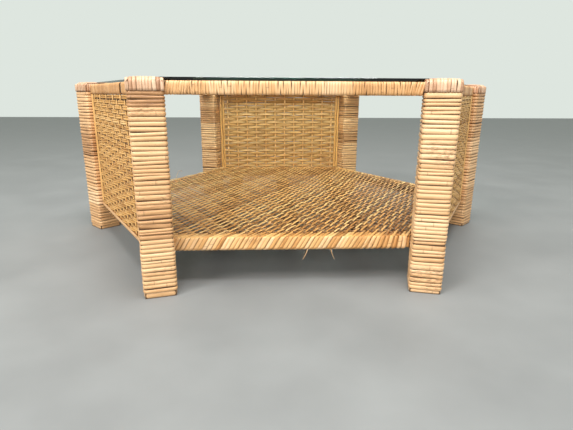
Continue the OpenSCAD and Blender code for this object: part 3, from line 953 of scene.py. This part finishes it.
def build_panel_stakes(k):
    """The upright stakes of a panel."""
    rng = rng_for("stakes", k)
    n, t = side_axes(k)
    strips = Strips()
    z = np.linspace(PANEL_Z0 - 2 * MM, PANEL_Z1, 40)
    for i in range(STAKES):
        along = (i - (STAKES - 1) / 2) * STAKE_PITCH + wobble(len(z), rng, 0.5 * MM)
        tone = strip_tone(rng, 0.80, 0.08, 0.0)
        path = upright_path(n, t, PANEL_MIDDLE, along, z)
        strips.add(path, n, STAKE_W, oval(WEAVER_THICK), tone, anywhere(rng))
    name = SIDES[k]
    strips.piece("stakes_" + name, "stake_rattan", PANEL_RATTAN, ["panel_stakes_" + name])


def build_panel_beads(k):
    """Two half-round beads down each edge of a panel, inside and outside."""
    rng = rng_for("beads", k)
    n, t = side_axes(k)
    strips = Strips()
    section = half_round(BEAD_R - 0.5 * MM, 0.4 * MM, 9)
    z = np.linspace(PANEL_Z0, PANEL_Z1 - 0.2 * MM, 30)
    for face in (-1, 1):
        plane = PANEL_MIDDLE + face * 0.6 * MM
        edge = leg_face(plane + max(face, 0) * BEAD_R)
        for end in (-1, 1):
            for i in range(BEADS):
                along = end * (edge - BEAD_R * (1 + 2 * i)) + wobble(len(z), rng, 0.25 * MM)
                tone = strip_tone(rng, 0.60, 0.08, 0.0)
                path = upright_path(n, t, plane, along, z)
                strips.add(path, n * face, 1.93 * BEAD_R, section, tone, anywhere(rng))
    name = SIDES[k]
    strips.piece("beads_" + name, "bead_rattan", BEAD_RATTAN, ["panel_beads_" + name])


def build_panel_rod(k):
    """Flat strips along a panel's lower edge: one inside, one outside and one beneath."""
    rng = rng_for("rod", k)
    n, t = side_axes(k)
    strips = Strips()
    count = 40
    for face, plane in ((1, PANEL_OUT - ROD_SKIN), (-1, PANEL_IN + ROD_SKIN)):
        reach = leg_face(plane) - LEG_CLEAR
        z = (ROD_Z0 + PANEL_Z0) / 2 + wobble(count, rng, 0.2 * MM)
        path = upright_path(n, t, plane, np.linspace(-reach, reach, count), z)
        strips.add(path, n * face, PANEL_Z0 - ROD_Z0, half_round(ROD_SKIN, 2.5 * MM), 0.62, anywhere(rng))
    reach = leg_face(PANEL_OUT) - LEG_CLEAR
    z = np.full(count, ROD_Z0 + 1.0 * MM)
    path = upright_path(n, t, PANEL_MIDDLE, np.linspace(-reach, reach, count), z)
    strips.add(path, -UP, (PANEL_OUT - PANEL_IN) * 0.7, half_round(1.0 * MM, 1.5 * MM), 0.5, anywhere(rng))
    name = SIDES[k]
    strips.piece("edge_strips_" + name, "rail_rattan", RAIL_RATTAN, ["panel_rod_" + name])


# ---------------------------------------------------------------- loose fibres
FIBRE_TONE = 0.75
# Ends that hang below the front edge: place along it, length, and how far they lean for their length
HANGING_FIBRES = ((28 * MM, 20 * MM, -0.45), (75 * MM, 20 * MM, 0.35))
# A dark broken strand that lies across the weave near the back
BROKEN_STRAND = (np.array([-0.180, 0.345, 0.0]), np.array([-0.138, 0.428, 0.0]))


def add_hanging_fibres(strips, rng):
    """Frayed ends that hang below the front of the shelf."""
    f = np.linspace(0, 1, 14)
    for x, length, lean in HANGING_FIBRES:
        path = np.column_stack([x + length * lean * f ** 1.5, 2 * MM - SHELF_OPEN - 3 * MM * f,
                                SHELF_Z0 + 2 * MM - length * f])
        width = 1.5 * MM * (1 - 0.6 * f)
        strips.add(path, (0, -1, 0), width, oval(0.7 * MM, 6), FIBRE_TONE, anywhere(rng))


def add_arched_fibre(strips, rng):
    """A thin end that arches over the edge on the left-back side."""
    n, t = side_axes(SIDES.index("left_back"))
    f = np.linspace(0, 1, 16)
    along = -10 * MM - 30 * MM * f
    path = upright_path(n, t, SHELF_OPEN - 2 * MM, along, SHELF_Z1 + 22 * MM * np.sin(2.2 * f))
    strips.add(path, n, 1.1 * MM * (1 - 0.5 * f), oval(0.6 * MM, 6), FIBRE_TONE, anywhere(rng))


def add_broken_strand(strips, rng):
    """A dark broken strand that lies on the weave."""
    start, end = BROKEN_STRAND
    f = np.linspace(0, 1, 16)
    z = SHELF_Z1 + 0.3 * MM + 1.5 * MM * np.sin(3.1 * f)
    path = start + (end - start) * f[:, None] + UP * z[:, None]
    strips.add(path, UP, 5 * MM, half_round(0.9 * MM, 0.4 * MM, 5), 0.0, anywhere(rng), 0.7)


def build_loose_fibres():
    """Broken and frayed ends of the shelf's strands."""
    rng = rng_for("fibres")
    strips = Strips()
    add_hanging_fibres(strips, rng)
    add_arched_fibre(strips, rng)
    add_broken_strand(strips, rng)
    strips.piece("loose_fibres", "shelf_rattan", RAIL_RATTAN)


# ---------------------------------------------------------------- glass
GLASS_BEVEL = 0.6 * MM


def build_glass():
    """The six-sided glass plate with small polished bevels along its edges."""
    rings = ((GLASS_R - GLASS_BEVEL, GLASS_Z0), (GLASS_R, GLASS_Z0 + GLASS_BEVEL),
             (GLASS_R, GLASS_Z1 - GLASS_BEVEL), (GLASS_R - GLASS_BEVEL, GLASS_Z1))
    turns = np.radians(60 * np.arange(6))
    points = [(r * math.cos(a), r * math.sin(a), z) for r, z in rings for a in turns]
    faces = [tuple(range(5, -1, -1)), tuple(range(18, 24))]
    for ring in range(0, 18, 6):
        for i in range(6):
            j = (i + 1) % 6
            faces.append((ring + i, ring + j, ring + 6 + j, ring + 6 + i))
    mesh = bpy.data.meshes.new("glass_plate")
    mesh.from_pydata(points, [], faces)
    add_piece("glass_plate", mesh, "glass", CLEAR_GLASS, ["glass_top"])


# ---------------------------------------------------------------- stage, light and camera
FLOOR_SIZE = 6.0
FLOOR_STOPS = ((0.3, (0.185, 0.187, 0.186)), (0.7, (0.225, 0.228, 0.226)))
SHELF_CENTRE = (0, 0, 0.2)
# Name, place, diameter, power and colour of each lamp
LAMPS = (
    ("key", (-1.9, -2.1, 2.7), 1.2, 80, (1.0, 0.98, 0.95)),
    ("front", (-0.4, -3.3, 1.45), 1.2, 46, (1.0, 1.0, 1.0)),
    ("top", (0.1, -0.9, 2.9), 1.4, 78, (1.0, 1.0, 1.0)),
)
STUDIO_COLOUR = (0.86, 0.93, 0.87, 1.0)
STUDIO_STRENGTH = 0.85
CAMERA_PLACE = (-0.0514, -1.2166, 0.3637)
CAMERA_YAW = 0.047
CAMERA_PITCH = 0.2701
CAMERA_ROLL = -0.0051
CAMERA_LENS = 27.38


def build_floor():
    """A plain pale floor with a very light mottling."""
    mesh = bpy.data.meshes.new("floor")
    corners = [(FLOOR_SIZE * x, FLOOR_SIZE * y, 0) for x, y in ((-1, -1), (1, -1), (1, 1), (-1, 1))]
    mesh.from_pydata(corners, [], [(0, 1, 2, 3)])
    n = Nodes("floor_grey")
    cloud = n.noise(n.object_place(), 5.0, 4.0)
    n.finish(n.ramp(cloud, FLOOR_STOPS), n.span(cloud, 0.3, 0.7, 0.55, 0.7), cloud, 0.5 * MM)
    mesh.materials.append(n.material)
    add_to_scene("floor", mesh)


def build_light():
    """Three soft lamps and an even pale room."""
    for name, spot, diameter, power, colour in LAMPS:
        data = bpy.data.lights.new(name, "AREA")
        data.shape = "DISK"
        data.size = diameter
        data.energy = power
        data.color = colour
        lamp = add_to_scene(name, data)
        lamp.location = spot
        lamp.rotation_euler = (Vector(SHELF_CENTRE) - Vector(spot)).to_track_quat("-Z", "Y").to_euler()
    world = bpy.data.worlds.new("studio")
    world.use_nodes = True
    background = world.node_tree.nodes["Background"]
    background.inputs["Color"].default_value = STUDIO_COLOUR
    background.inputs["Strength"].default_value = STUDIO_STRENGTH
    bpy.context.scene.world = world
    bpy.context.scene.view_settings.view_transform = "Standard"


def build_camera():
    """Low in front of the table and a little to its left, looking slightly down."""
    data = bpy.data.cameras.new("camera")
    data.lens = CAMERA_LENS
    data.sensor_width = 36
    data.clip_start = 0.01
    camera = add_to_scene("camera", data)
    ahead = Vector((math.sin(CAMERA_YAW), math.cos(CAMERA_YAW), 0))
    forward = ahead * math.cos(CAMERA_PITCH) + Vector((0, 0, -math.sin(CAMERA_PITCH)))
    level = Vector((math.cos(CAMERA_YAW), -math.sin(CAMERA_YAW), 0))
    down = forward.cross(level)
    right = level * math.cos(CAMERA_ROLL) + down * math.sin(CAMERA_ROLL)
    sink = down * math.cos(CAMERA_ROLL) - level * math.sin(CAMERA_ROLL)
    axes = Matrix((right, -sink, -forward)).transposed().to_4x4()
    camera.matrix_world = Matrix.Translation(CAMERA_PLACE) @ axes
    bpy.context.scene.camera = camera


WOODEN_NODES = ("leg_post", "top_rail", "shelf_rail", "shelf_slats", "rail_dowels")


def dress_hidden_parts():
    """The wooden frame, its dowels and its screws keep their CAD shapes."""
    for name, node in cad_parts.items():
        if name.startswith(WOODEN_NODES):
            material = RAW_WOOD
        elif name == "shelf_screws":
            material = SCREW_STEEL
        else:
            continue
        node.data.materials.clear()
        node.data.materials.append(material)


build_floor()
build_light()
build_camera()
dress_hidden_parts()
for leg in range(6):
    build_leg_wrap(leg)
    build_leg_cap(leg)
for side in range(6):
    build_rail_wrap(side)
    build_shelf_edge(side)
build_shelf_strands("lengthwise", LENGTHWISE, rise_lengthwise, SHELF_RATTAN)
build_shelf_strands("crosswise", CROSSWISE, rise_crosswise, SHELF_CROSS_RATTAN)
for side in PANEL_SIDES:
    build_panel_weave(side)
    build_panel_stakes(side)
    build_panel_beads(side)
    build_panel_rod(side)
build_loose_fibres()
build_glass()
